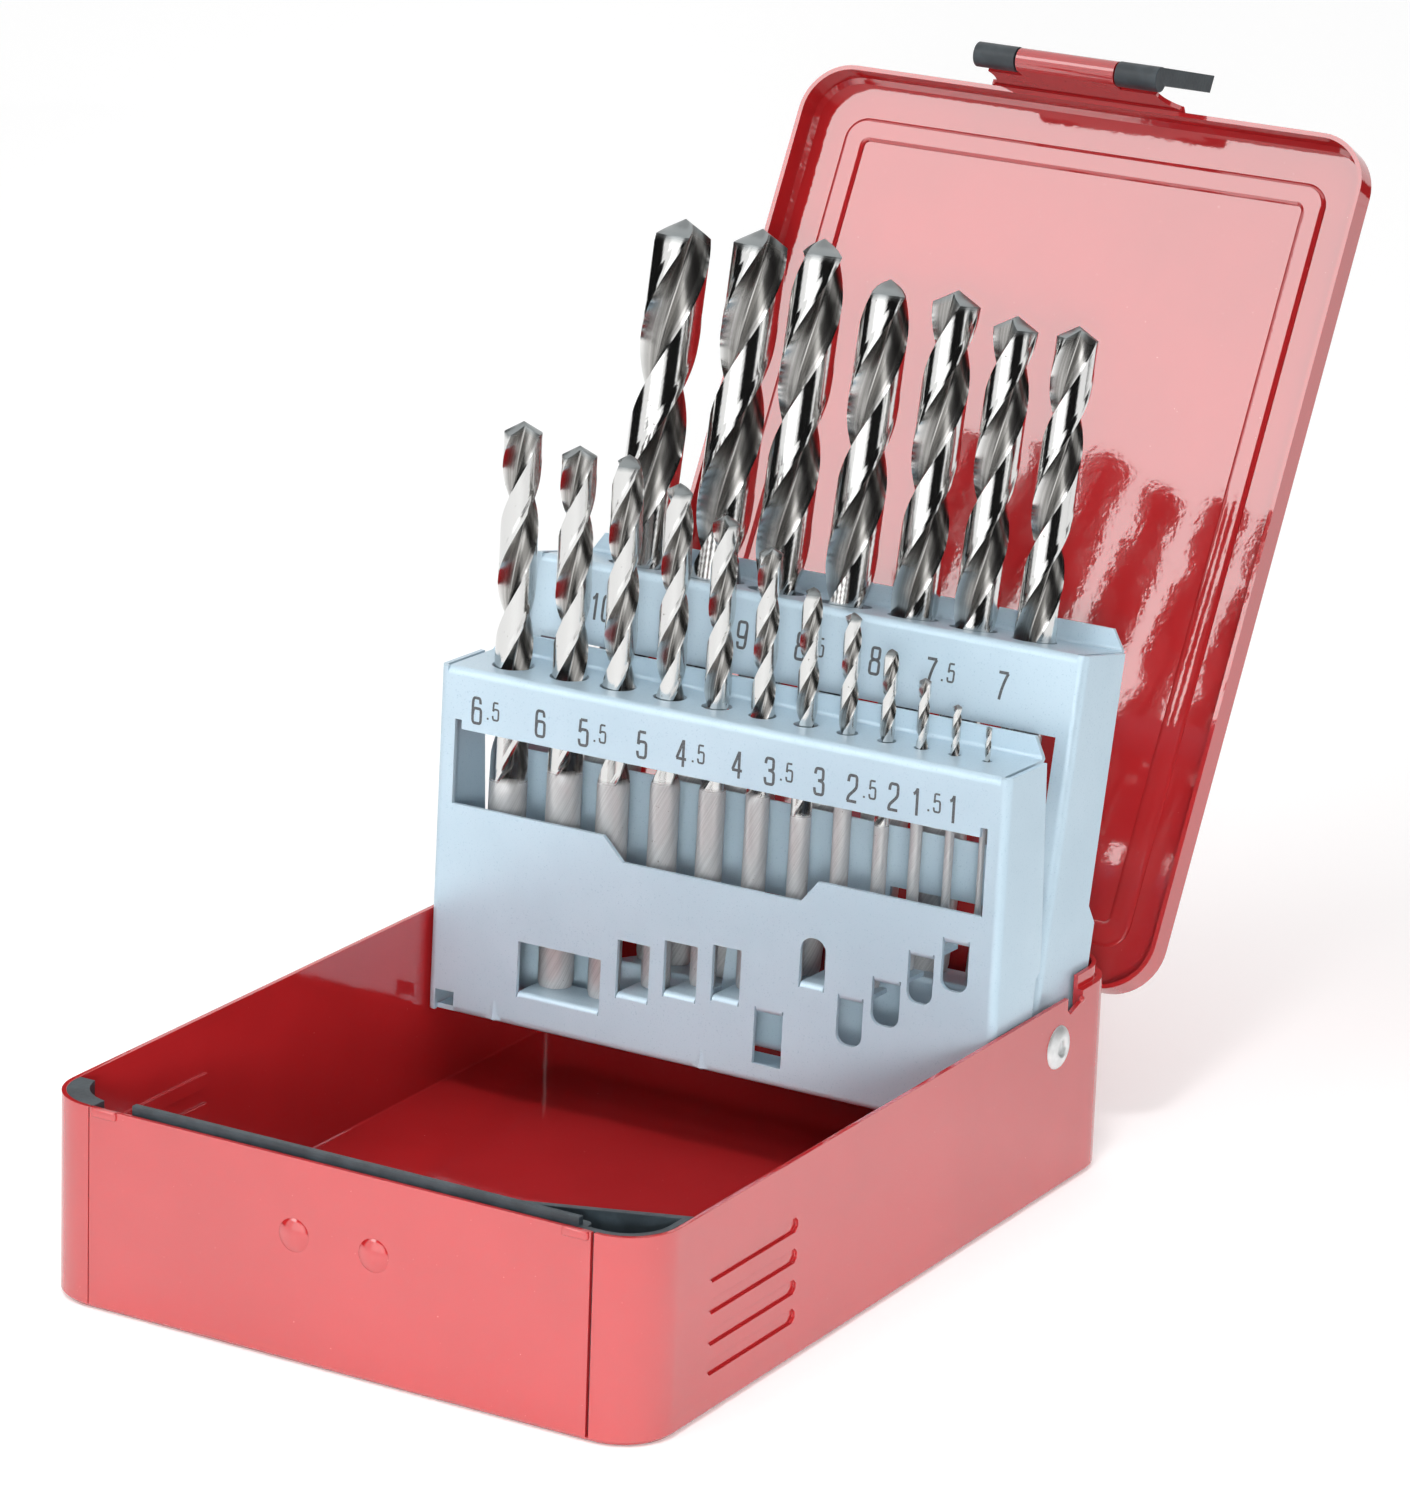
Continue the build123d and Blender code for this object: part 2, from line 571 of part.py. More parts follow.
# ---- hinge ---------------------------------------------------------------------------------------
def build_leaf(name, frame, length, upward, first):
    """Hinge leaf on the rear wall: a plate, and every second knuckle with its finger."""
    sign = 1 if upward else -1
    pitch = HINGE_WIDTH / KNUCKLES
    plate_y = -HINGE_SETBACK + LEAF_SHEET / 2
    root = KNUCKLE_RADIUS + 2 * KNUCKLE_GAP
    with BuildPart() as leaf:
        with BuildSketch(on(frame, Plane.YZ)):
            with Locations((plate_y, sign * (root + length) / 2)):
                Rectangle(LEAF_SHEET, length - root)
        extrude(amount=HINGE_WIDTH / 2, both=True)
        for knuckle in range(first, KNUCKLES, 2):
            middle = (knuckle + 0.5) * pitch - HINGE_WIDTH / 2
            with BuildSketch(on(frame, Plane.YZ.offset(middle))):
                Circle(KNUCKLE_RADIUS)
                with Locations((plate_y, sign * root / 2)):
                    Rectangle(LEAF_SHEET, root)
                Circle(PIN_RADIUS + PIN_FIT, mode=Mode.SUBTRACT)
            extrude(amount=(pitch - KNUCKLE_GAP) / 2, both=True)
    finish(leaf, name)


def build_hinge_pin():
    with BuildPart() as pin:
        with BuildSketch(Plane.YZ):
            with Locations((HINGE_Y, HINGE_Z)):
                Circle(PIN_RADIUS)
        extrude(amount=HINGE_WIDTH / 2, both=True)
    finish(pin, "hinge_pin")


# ---- lid --------------------------------------------------------------------------------------------
def bead_ring(plane):
    """Plan of the pressed bead that stiffens the lid's panel."""
    width = CASE_WIDTH - 2 * BEAD_INSET
    depth = CASE_DEPTH - 2 * BEAD_INSET
    with BuildSketch(plane) as ring:
        with Locations((0, LID_CENTRE)):
            RectangleRounded(width, depth, BEAD_WIDTH)
            RectangleRounded(width - 2 * BEAD_WIDTH, depth - 2 * BEAD_WIDTH, 1.0, mode=Mode.SUBTRACT)
    return ring.sketch


def build_lid():
    frame = lid_frame()
    rim_plane = on(frame, Plane.XY.offset(LID_RIM))
    panel = LID_RIM + LID_HEIGHT
    up = Axis((0, HINGE_Y, HINGE_Z), rim_plane.z_dir)
    joggle = CASE_SHEET + TAB_CLEARANCE
    wall_middle = LID_FRONT + CASE_SHEET / 2
    curl_middle = CURL_Y + CURL_RADIUS - CASE_SHEET / 2
    tab_path = [
        (wall_middle, LID_RIM + 3 * CASE_SHEET),
        (wall_middle, LID_RIM + 2 * CASE_SHEET),
        (wall_middle - joggle, LID_RIM),
        (curl_middle, CURL_Z + CURL_RADIUS),
        (curl_middle, CURL_Z),
    ]
    tab = bent_strip(on(frame, Plane.YZ), tab_path, CASE_SHEET, CASE_SHEET)
    with BuildPart() as lid:
        with BuildSketch(rim_plane):
            with Locations((0, LID_CENTRE)):
                RectangleRounded(CASE_WIDTH, CASE_DEPTH, CORNER_RADIUS)
        extrude(amount=LID_HEIGHT)
        chamfer(lid.edges().group_by(up)[-1], LID_BEND)
        rim = lid.faces().sort_by(up)[0]
        offset(amount=-CASE_SHEET, openings=rim)
        # the bead stands proud inside and is hollow outside
        ridge = extrude(bead_ring(on(frame, Plane.XY.offset(panel - CASE_SHEET))),
                        amount=-BEAD_HEIGHT, mode=Mode.PRIVATE)
        groove = extrude(bead_ring(on(frame, Plane.XY.offset(panel))),
                         amount=-BEAD_HEIGHT, mode=Mode.PRIVATE)
        crest = ridge.edges().group_by(up)[0]
        add(ridge.solid().chamfer(BEAD_SLOPE, None, crest))
        add(groove, mode=Mode.SUBTRACT)
        # front tab, narrowing to a rolled curl that carries the latch
        extrude(tab, amount=TAB_ROOT_HALF + LEVER_CLEARANCE, both=True)
        with BuildSketch(on(frame, Plane.XZ.offset(-LID_FRONT + CURL_SETOUT + CURL_RADIUS))):
            with BuildLine():
                neck = CURL_Z + BARREL_RADIUS + LEVER_CLEARANCE
                Polyline((CURL_HALF, CURL_Z - CURL_RADIUS), (CURL_HALF, neck), (TAB_NECK_HALF, neck))
                ThreePointArc((TAB_NECK_HALF, neck), (TAB_NECK_HALF + 0.3, LID_RIM - 2.6),
                              (TAB_ROOT_HALF, LID_RIM))
                Polyline((TAB_ROOT_HALF, LID_RIM), (TAB_ROOT_HALF + 2, LID_RIM),
                         (TAB_ROOT_HALF + 2, CURL_Z - CURL_RADIUS), (CURL_HALF, CURL_Z - CURL_RADIUS))
            make_face()
            mirror(about=Plane.YZ)
        extrude(amount=-CURL_SETOUT - CURL_RADIUS, mode=Mode.SUBTRACT)
        with BuildSketch(on(frame, Plane.YZ)):
            mouth = [(2 * CURL_RADIUS * cos(radians(a)), 2 * CURL_RADIUS * sin(radians(a)))
                     for a in CURL_MOUTH]
            with Locations((CURL_Y, CURL_Z)):
                Circle(CURL_RADIUS)
                Circle(CURL_RADIUS - CASE_SHEET, mode=Mode.SUBTRACT)
                with BuildLine():
                    Polyline((CURL_Y, CURL_Z), *[(CURL_Y + y, CURL_Z + z) for y, z in mouth], close=True)
                make_face(mode=Mode.SUBTRACT)
        extrude(amount=CURL_HALF, both=True)
    finish(lid, "lid_shell")


def build_latch():
    """Plastic lever: two barrels and a pin on the curl's axis, and a broad plate."""
    frame = lid_frame() * Location((0, CURL_Y, CURL_Z))
    foot = CURL_RADIUS - CASE_SHEET - LEVER_CLEARANCE - LEVER_THICKNESS
    with BuildPart() as lever:
        with BuildSketch(on(frame, Plane.YZ)):
            Circle(BARREL_RADIUS)
            with BuildLine():
                Polyline(
                    (foot, 0), (foot + LEVER_THICKNESS, 0),
                    (foot + LEVER_THICKNESS - LEVER_LEAN, LEVER_REACH),
                    (foot - LEVER_LEAN, LEVER_REACH), close=True)
            make_face()
        extrude(amount=LEVER_HALF, both=True)
        with BuildSketch(on(frame, Plane.YZ)):
            Circle(CURL_RADIUS + LEVER_CLEARANCE)
        extrude(amount=CURL_HALF + LEVER_CLEARANCE, both=True, mode=Mode.SUBTRACT)
        with BuildSketch(on(frame, Plane.YZ)):
            Circle(CURL_RADIUS - CASE_SHEET - LEVER_FIT)
        extrude(amount=CURL_HALF + LEVER_CLEARANCE, both=True)
    finish(lever, "latch_lever")


build_base()
build_liners()
build_rivets()
build_leaf("base_hinge_leaf", Location((0, HINGE_Y, HINGE_Z)), BASE_LEAF_LENGTH, False, 0)
build_leaf("lid_hinge_leaf", lid_frame(), LID_LEAF_LENGTH, True, 1)
build_hinge_pin()
build_lid()
build_latch()
build_rack("front_rack", FRONT_RACK)
build_rack("rear_rack", REAR_RACK)
for rack in (FRONT_RACK, REAR_RACK):
    for diameter, (x, shelf) in rack.drills.items():
        build_drill(diameter, x, shelf, rack)
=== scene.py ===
from math import atan2, ceil, cos, degrees, hypot, pi, radians, sin, tan

import bpy
from mathutils import Matrix, Vector


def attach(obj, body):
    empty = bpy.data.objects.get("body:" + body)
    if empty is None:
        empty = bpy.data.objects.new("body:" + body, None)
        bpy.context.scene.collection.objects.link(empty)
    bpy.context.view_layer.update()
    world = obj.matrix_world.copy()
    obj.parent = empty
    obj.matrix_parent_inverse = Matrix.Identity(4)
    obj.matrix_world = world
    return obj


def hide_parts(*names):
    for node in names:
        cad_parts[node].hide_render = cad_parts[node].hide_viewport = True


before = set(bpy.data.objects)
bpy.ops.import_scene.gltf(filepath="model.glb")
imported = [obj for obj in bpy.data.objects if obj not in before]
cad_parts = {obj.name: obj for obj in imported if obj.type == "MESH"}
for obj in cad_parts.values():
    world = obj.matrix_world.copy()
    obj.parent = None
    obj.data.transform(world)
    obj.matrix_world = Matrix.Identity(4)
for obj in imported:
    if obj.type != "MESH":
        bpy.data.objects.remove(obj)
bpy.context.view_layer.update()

# The scene is in metres. Sizes below are in millimetres and are scaled by MM where a piece
# is placed. X runs across the case, Y from front to rear, Z up; the origin is the centre of
# the tray's underside.
MM = 0.001

# ---- sizes the pieces share ---------------------------------------------------------
SIDE_X = 55.0                # outer faces of the tray's walls
FRONT_Y = -76.2
REAR_Y = 76.2
RIM_Z = 33.2
HINGE_SETBACK = 1.7          # lid's axis behind the rear wall
HINGE_DROP = 6.2             # and below the rim
PIVOT_Y, PIVOT_Z = 54.0, 25.7   # rivets that both racks turn on
FRONT_FACE = 21.0            # each rack's face stands this far in front of the rivets
REAR_FACE = 5.2
FRONT_ROW = 7.5              # and its drills stand this far behind the face
REAR_ROW = 9.0
SHELF_REST = 0.05            # air under a shank's end

# Diameter: (place along the rack, height of its shelf).
FRONT_DRILLS = {
    6.5: (-44.0, -9.5), 6.0: (-33.0, -3.9), 5.5: (-23.5, -3.9), 5.0: (-13.6, -0.1),
    4.5: (-4.6, 2.0), 4.0: (4.0, 3.2), 3.5: (12.2, 2.8), 3.0: (19.9, 8.9),
    2.5: (27.2, 8.1), 2.0: (33.6, 12.4), 1.5: (39.7, 18.1), 1.0: (45.6, 21.5),
}
REAR_DRILLS = {
    10.0: (-37.1, -9.5), 9.5: (-22.2, -1.1), 9.0: (-10.3, -1.1), 8.5: (3.0, 2.0),
    8.0: (15.8, 2.0), 7.5: (27.2, 7.4), 7.0: (38.5, 7.4),
}
# Diameter: (overall length, fluted length), the standard jobber sizes.
DRILL_LENGTHS = {
    1.0: (34, 12), 1.5: (40, 18), 2.0: (49, 24), 2.5: (57, 30), 3.0: (61, 33),
    3.5: (70, 39), 4.0: (75, 43), 4.5: (80, 47), 5.0: (86, 52), 5.5: (93, 57),
    6.0: (93, 57), 6.5: (101, 63), 7.0: (109, 69), 7.5: (109, 69), 8.0: (117, 75),
    8.5: (117, 75), 9.0: (125, 81), 9.5: (125, 81), 10.0: (133, 87),
}


# ---- frames of the lid and the racks, as the case stands open -------------------------
def tilted(y, z, angle):
    """Frame in metres at a height on the middle plane, leaning back by an angle."""
    return Matrix.Translation(Vector((0, y, z)) * MM) @ Matrix.Rotation(-radians(angle), 4, "X")


LID = tilted(REAR_Y + HINGE_SETBACK, RIM_Z - HINGE_DROP, 118.14)
FRONT = tilted(PIVOT_Y, PIVOT_Z, 1.93)
REAR = tilted(PIVOT_Y, PIVOT_Z, 11.63)


# ---- small tools --------------------------------------------------------------------
def alone(obj):
    """Selects one object and makes it active."""
    for other in bpy.context.selected_objects:
        other.select_set(False)
    obj.select_set(True)
    bpy.context.view_layer.objects.active = obj
    return obj


def nothing_selected():
    """Leaves no object selected."""
    for other in bpy.context.selected_objects:
        other.select_set(False)


def finish_piece(obj, name, body, material, place=None, smooth=35):
    """Names a piece, puts its place into its mesh, and hands it to its body."""
    alone(obj)
    if place is not None:
        obj.data.transform(place)
    obj.name = name
    obj.data.name = name
    obj.data.materials.clear()
    obj.data.materials.append(material)
    bpy.ops.object.shade_smooth_by_angle(angle=radians(smooth))
    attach(obj, body)
    return obj


def applied(obj, kind, **settings):
    """Adds one modifier with its settings and applies it."""
    alone(obj)
    modifier = obj.modifiers.new(kind.lower(), kind)
    for key, value in settings.items():
        setattr(modifier, key, value)
    bpy.ops.object.modifier_apply(modifier=modifier.name)
    return obj


# ---- materials ------------------------------------------------------------------------
def new_group(name, inputs):
    """Node group with number inputs and one output, Mask."""
    group = bpy.data.node_groups.new(name, "ShaderNodeTree")
    for label, value in inputs:
        socket = group.interface.new_socket(label, in_out="INPUT", socket_type="NodeSocketFloat")
        socket.default_value = value
    group.interface.new_socket("Mask", in_out="OUTPUT", socket_type="NodeSocketFloat")
    entry = group.nodes.new("NodeGroupInput")
    leave = group.nodes.new("NodeGroupOutput")
    return group, entry, leave


def node(tree, kind, inputs=None, **settings):
    """Adds one node; an input is either a value or the socket that feeds it."""
    made = tree.nodes.new(kind)
    for key, value in settings.items():
        setattr(made, key, value)
    for key, value in (inputs or {}).items():
        if isinstance(value, bpy.types.NodeSocket):
            tree.links.new(value, made.inputs[key])
        else:
            made.inputs[key].default_value = value
    return made


def build_grain():
    """Grain on object coordinates, from 0 to 1 about one half."""
    group, entry, leave = new_group("grain", [("Scale", 1000), ("Detail", 2)])
    where = node(group, "ShaderNodeTexCoord")
    noise = node(group, "ShaderNodeTexNoise",
                 {"Vector": where.outputs["Object"], "Scale": entry.outputs["Scale"],
                  "Detail": entry.outputs["Detail"], "Roughness": 0.55})
    group.links.new(noise.outputs["Fac"], leave.inputs["Mask"])
    return group


def build_rise():
    """Mask that rises from 0 to 1 as the value goes from Low to High."""
    group, entry, leave = new_group("rise", [("Value", 0.5), ("Low", 0.4), ("High", 0.6)])
    ramp = node(group, "ShaderNodeMapRange",
                {"Value": entry.outputs["Value"], "From Min": entry.outputs["Low"],
                 "From Max": entry.outputs["High"]}, interpolation_type="SMOOTHSTEP")
    group.links.new(ramp.outputs["Result"], leave.inputs["Mask"])
    return group


GRAIN = build_grain()
RISE = build_rise()


def material(name):
    """New material, its node tree and its shader."""
    made = bpy.data.materials.new(name)
    made.use_nodes = True
    tree = made.node_tree
    return made, tree, tree.nodes["Principled BSDF"]


def grain(tree, scale, detail=2):
    """Grain's value at so many cells to the metre."""
    made = node(tree, "ShaderNodeGroup")
    made.node_tree = GRAIN
    made.inputs["Scale"].default_value = scale
    made.inputs["Detail"].default_value = detail
    return made.outputs["Mask"]


def rise(tree, value, low, high):
    """Mask that rises from 0 to 1 as a value goes from low to high."""
    made = node(tree, "ShaderNodeGroup")
    made.node_tree = RISE
    tree.links.new(value, made.inputs["Value"])
    made.inputs["Low"].default_value = low
    made.inputs["High"].default_value = high
    return made.outputs["Mask"]


COLOUR_A, COLOUR_B, COLOUR_OUT = 6, 7, 2     # colour sockets of a mix node


def mixed(tree, mask, first, second):
    """Colour that goes from first to second as the mask rises."""
    made = node(tree, "ShaderNodeMix", data_type="RGBA")
    tree.links.new(mask, made.inputs["Factor"])
    for index, colour in ((COLOUR_A, first), (COLOUR_B, second)):
        if isinstance(colour, bpy.types.NodeSocket):
            tree.links.new(colour, made.inputs[index])
        else:
            made.inputs[index].default_value = (*colour, 1)
    return made.outputs[COLOUR_OUT]


def between(tree, mask, low, high):
    """Number that goes from low to high as the mask rises."""
    made = node(tree, "ShaderNodeMapRange", {"To Min": low, "To Max": high})
    tree.links.new(mask, made.inputs["Value"])
    return made.outputs["Result"]


def bump(tree, height, distance, strength=1.0, normal=None):
    """Normal over a height, which is so many metres at full strength."""
    made = node(tree, "ShaderNodeBump", {"Distance": distance, "Strength": strength})
    tree.links.new(height, made.inputs["Height"])
    if normal is not None:
        tree.links.new(normal, made.inputs["Normal"])
    return made.outputs["Normal"]


def red_paint():
    """Glossy paint with faint clouds, pale specks and orange peel."""
    made, tree, shader = material("red_gloss_paint")
    cloud = rise(tree, grain(tree, 30, 3), 0.3, 0.7)
    colour = mixed(tree, cloud, (0.41, 0.017, 0.019), (0.46, 0.019, 0.022))
    specks = rise(tree, grain(tree, 2200, 1), 0.80, 0.83)
    colour = mixed(tree, specks, colour, (0.70, 0.12, 0.12))
    tree.links.new(colour, shader.inputs["Base Color"])
    tree.links.new(between(tree, grain(tree, 120, 3), 0.03, 0.09), shader.inputs["Roughness"])
    shader.inputs["IOR"].default_value = 1.8
    shader.inputs["Specular IOR Level"].default_value = 0.80
    peel = bump(tree, grain(tree, 600, 2), 0.000018, 1.0)
    wave = bump(tree, grain(tree, 90, 1), 0.0002, 0.12, peel)
    tree.links.new(wave, shader.inputs["Normal"])
    return made


def rack_paint():
    """Pale satin finish with fine darker flecks."""
    made, tree, shader = material("pale_blue_rack_finish")
    cloud = rise(tree, grain(tree, 45, 3), 0.3, 0.7)
    colour = mixed(tree, cloud, (0.43, 0.56, 0.65), (0.47, 0.60, 0.69))
    fleck = grain(tree, 3200, 1)
    colour = mixed(tree, rise(tree, fleck, 0.60, 0.78), colour, (0.36, 0.50, 0.60))
    tree.links.new(colour, shader.inputs["Base Color"])
    tree.links.new(between(tree, fleck, 0.24, 0.42), shader.inputs["Roughness"])
    shader.inputs["Metallic"].default_value = 0.25
    shader.inputs["Specular IOR Level"].default_value = 0.6
    tree.links.new(bump(tree, fleck, 0.00002, 0.25), shader.inputs["Normal"])
    return made


def drill_steel():
    """Ground steel: satin flutes with grind streaks, darkened with painted shade and painted dark
    reflection bands; bright lands; brushed shanks; points painted a darker blue-grey that stands in
    for their reflections, and duller.
    """
    made, tree, shader = material("ground_drill_steel")
    where = node(tree, "ShaderNodeTexCoord")
    grind_streaks_and_painted_bands = []
    for stretch, detail in (((70, 2.5, 1), 4), ((11, 0.9, 1), 2)):
        spread = node(tree, "ShaderNodeMapping", {"Vector": where.outputs["UV"], "Scale": stretch})
        helix_noise = node(tree, "ShaderNodeTexNoise", {"Vector": spread.outputs["Vector"], "Scale": 1,
                                                   "Detail": detail, "Roughness": 0.6})
        grind_streaks_and_painted_bands.append(helix_noise.outputs["Fac"])
    fine, painted_dark_bands = grind_streaks_and_painted_bands
    land, shank, point = (node(tree, "ShaderNodeAttribute", attribute_name=name).outputs["Fac"]
                          for name in ("land", "shank", "point"))
    # Flutes are painted darker than the lands: painted shade in the hollows and painted dark
    # reflections, over real grind streaks.
    colour = mixed(tree, rise(tree, fine, 0.3, 0.7), (0.31, 0.302, 0.29), (0.56, 0.552, 0.535))
    # Broad bands along the helix are painted darker still: painted dark reflection bands.
    colour = mixed(tree, rise(tree, painted_dark_bands, 0.60, 0.40), colour, (0.21, 0.205, 0.195))
    colour = mixed(tree, land, colour, (0.76, 0.76, 0.75))
    brushed = mixed(tree, rise(tree, fine, 0.35, 0.65), (0.46, 0.465, 0.47), (0.58, 0.585, 0.59))
    colour = mixed(tree, shank, colour, brushed)
    # Point painted a darker blue-grey: painted shade that stands in for the darker reflections of
    # its facets; its higher roughness also makes it duller.
    colour = mixed(tree, point, colour, (0.30, 0.325, 0.33))
    nick = rise(tree, grain(tree, 1500, 2), 0.70, 0.78)
    colour = mixed(tree, nick, colour, (0.24, 0.22, 0.20))
    tree.links.new(colour, shader.inputs["Base Color"])
    tree.links.new(between(tree, shank, 1.0, 0.45), shader.inputs["Metallic"])
    rough = between(tree, land, 0.27, 0.10)
    for zone, value in ((shank, 0.30), (point, 0.33)):
        blend = node(tree, "ShaderNodeMix", {"B": value}, data_type="FLOAT")
        tree.links.new(zone, blend.inputs["Factor"])
        tree.links.new(rough, blend.inputs["A"])
        rough = blend.outputs[0]
    tree.links.new(rough, shader.inputs["Roughness"])
    tree.links.new(bump(tree, fine, 0.00006, 0.3), shader.inputs["Normal"])
    return made


def plain_steel():
    """Bright steel of the rivets and the hinge pin, with a dull skin."""
    made, tree, shader = material("rivet_and_hinge_steel")
    cloud = rise(tree, grain(tree, 600, 3), 0.3, 0.7)
    tree.links.new(mixed(tree, cloud, (0.70, 0.72, 0.72), (0.80, 0.82, 0.82)),
                   shader.inputs["Base Color"])
    shader.inputs["Metallic"].default_value = 0.8
    tree.links.new(between(tree, grain(tree, 1400, 2), 0.36, 0.50), shader.inputs["Roughness"])
    tree.links.new(bump(tree, grain(tree, 900, 2), 0.00002, 0.15), shader.inputs["Normal"])
    return made


def black_plastic():
    """Moulded plastic with a fine rough grain."""
    made, tree, shader = material("black_moulded_plastic")
    cloud = rise(tree, grain(tree, 260, 3), 0.35, 0.7)
    tree.links.new(mixed(tree, cloud, (0.018, 0.027, 0.034), (0.035, 0.050, 0.060)),
                   shader.inputs["Base Color"])
    tree.links.new(between(tree, grain(tree, 1800, 2), 0.34, 0.58), shader.inputs["Roughness"])
    shader.inputs["Specular IOR Level"].default_value = 0.7
    tree.links.new(bump(tree, grain(tree, 1500, 3), 0.00008, 0.35), shader.inputs["Normal"])
    return made


def label_ink():
    """Matt ink of the size numbers."""
    made, tree, shader = material("dark_label_ink")
    cloud = rise(tree, grain(tree, 2500, 2), 0.3, 0.75)
    tree.links.new(mixed(tree, cloud, (0.055, 0.062, 0.070), (0.11, 0.12, 0.13)),
                   shader.inputs["Base Color"])
    tree.links.new(between(tree, grain(tree, 1200, 2), 0.45, 0.7), shader.inputs["Roughness"])
    return made


RED = red_paint()
PALE = rack_paint()
STEEL = drill_steel()
RIVET = plain_steel()
BLACK = black_plastic()
INK = label_ink()


# ---- pieces carried over from the frame, with softened edges ---------------------------
BEAD_HALF = (47.2, 68.4)     # half the plan of the lid's pressed bead
BEAD_CORNER = 4.2
BEAD_INNER_CORNER = 1.0
BEAD_WIDTH = 4.2
BEAD_CENTRE_Y = -HINGE_SETBACK - REAR_Y
BEAD_CREST_Z = 11.3
BEAD_FIELD = 50.0            # the bead lies within this of the middle
BEAD_EASE = 0.30             # crest drawn in on both sides, which widens the slopes
LEVEL_SLACK = 0.05           # a vertex this near to a level counts as on it
BUMP_FOOT = 0.02             # bumps start this far out, and end up this far in
REAR_SLACK = 0.03
LEAF_CLEARANCE = 0.05        # between the shut lid's hinge leaf and the rear wall
MERGED = 2e-6                # metres
FLAT = radians(0.6)          # faces nearer in angle than this become one
SHARP = radians(40)          # edges sharper than this are rounded


def outward(x, y, inset, corner):
    """Direction away from a rounded rectangle inset from the bead's outer plan."""
    over_x = abs(x) - (BEAD_HALF[0] - inset - corner)
    over_y = abs(y) - (BEAD_HALF[1] - inset - corner)
    if over_x > 0 and over_y > 0:
        away = Vector((over_x, over_y)).normalized()
    else:
        away = Vector((1, 0)) if over_x > over_y else Vector((0, 1))
    return Vector((away.x if x > 0 else -away.x, away.y if y > 0 else -away.y))


def ease_bead(mesh):
    """Widens the slopes of the pressed bead inside the lid."""
    into_lid = LID.inverted()
    for vertex in mesh.vertices:
        spot = into_lid @ vertex.co / MM
        if abs(spot.z - BEAD_CREST_Z) > LEVEL_SLACK or abs(spot.x) > BEAD_FIELD:
            continue
        x, y = spot.x, spot.y - BEAD_CENTRE_Y
        depth = min(BEAD_HALF[0] - abs(x), BEAD_HALF[1] - abs(y))
        if depth < BEAD_WIDTH / 2:
            shift = -outward(x, y, 0, BEAD_CORNER) * BEAD_EASE
        else:
            shift = outward(x, y, BEAD_WIDTH, BEAD_INNER_CORNER) * BEAD_EASE
        vertex.co = LID @ (Vector((spot.x + shift.x, spot.y + shift.y, spot.z)) * MM)


def settle_walls(mesh):
    """Takes the front wall's bumps back to the wall, where the domes stand instead, and
    draws the rear wall's outer face in by a hair, so the shut lid's leaf clears it."""
    for vertex in mesh.vertices:
        if vertex.co.y < (FRONT_Y - BUMP_FOOT) * MM:
            vertex.co.y = (FRONT_Y + BUMP_FOOT) * MM
        elif vertex.co.y > (REAR_Y - REAR_SLACK) * MM:
            vertex.co.y = (REAR_Y - LEAF_CLEARANCE) * MM


def softened(node_name, name, body, finish, width, segments=2, reshape=None):
    """The node's own solid, merged, with its sharp edges rounded to a width in millimetres."""
    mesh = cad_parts[node_name].data.copy()
    obj = bpy.data.objects.new(name, mesh)
    bpy.context.scene.collection.objects.link(obj)
    alone(obj)
    bpy.ops.object.mode_set(mode="EDIT")
    bpy.ops.mesh.select_all(action="SELECT")
    bpy.ops.mesh.remove_doubles(threshold=MERGED)
    bpy.ops.mesh.dissolve_limited(angle_limit=FLAT)
    bpy.ops.object.mode_set(mode="OBJECT")
    if reshape is not None:
        reshape(obj.data)
    applied(obj, "BEVEL", width=width * MM, segments=segments, limit_method="ANGLE",
            angle_limit=SHARP, use_clamp_overlap=True, harden_normals=False)
    finish_piece(obj, name, body, finish)
    applied(obj, "WEIGHTED_NORMAL", keep_sharp=True)
    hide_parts(node_name)


def sheet_pieces():
    """Tray, lid, racks and hinge leaves."""
    softened("base_shell", "base_tray", "base", RED, 0.18, reshape=settle_walls)
    softened("lid_shell", "lid_tray", "lid", RED, 0.18, reshape=ease_bead)
    softened("front_rack", "front_rack_sheet", "front_rack_body", PALE, 0.15)
    softened("rear_rack", "rear_rack_sheet", "rear_rack_body", PALE, 0.15)
    softened("base_hinge_leaf", "base_hinge_plate", "base", RED, 0.12)
    softened("lid_hinge_leaf", "lid_hinge_plate", "lid", RED, 0.12)


def plastic_pieces():
    """Liners inside the tray's rim, and the latch lever."""
    softened("front_liner_bar", "front_strip", "base", BLACK, 0.12)
    softened("corner_liner_left", "left_corner_strip", "base", BLACK, 0.12)
    softened("corner_liner_right", "right_corner_pocket", "base", BLACK, 0.12)
    softened("latch_lever", "latch_plate", "latch", BLACK, 0.45, 3)


def hinge_pin():
    """The frame's own pin, with a steel finish."""
    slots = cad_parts["hinge_pin"].data.materials
    for index in range(len(slots)):
        slots[index] = RIVET


# ---- turned and pressed details -------------------------------------------------------------
def turned(profile, columns=48):
    """Lathe form about Z from (radius, height) pairs, closed on the axis at both ends."""
    rings = len(profile)
    nothing_selected()
    bpy.ops.mesh.primitive_cylinder_add(vertices=columns, radius=1, depth=rings - 1,
                                        end_fill_type="TRIFAN", location=(0, 0, (rings - 1) / 2))
    form = alone(bpy.context.object)
    form.data.transform(form.matrix_world)
    form.matrix_world = Matrix.Identity(4)
    split_upright_edges(form, rings - 2)
    for vertex in form.data.vertices:
        spot = vertex.co
        radius, height = profile[round(spot.z)]
        reach = hypot(spot.x, spot.y)
        if reach < 1e-6:
            vertex.co = (0, 0, height)
        else:
            vertex.co = (spot.x / reach * radius, spot.y / reach * radius, height)
    return form


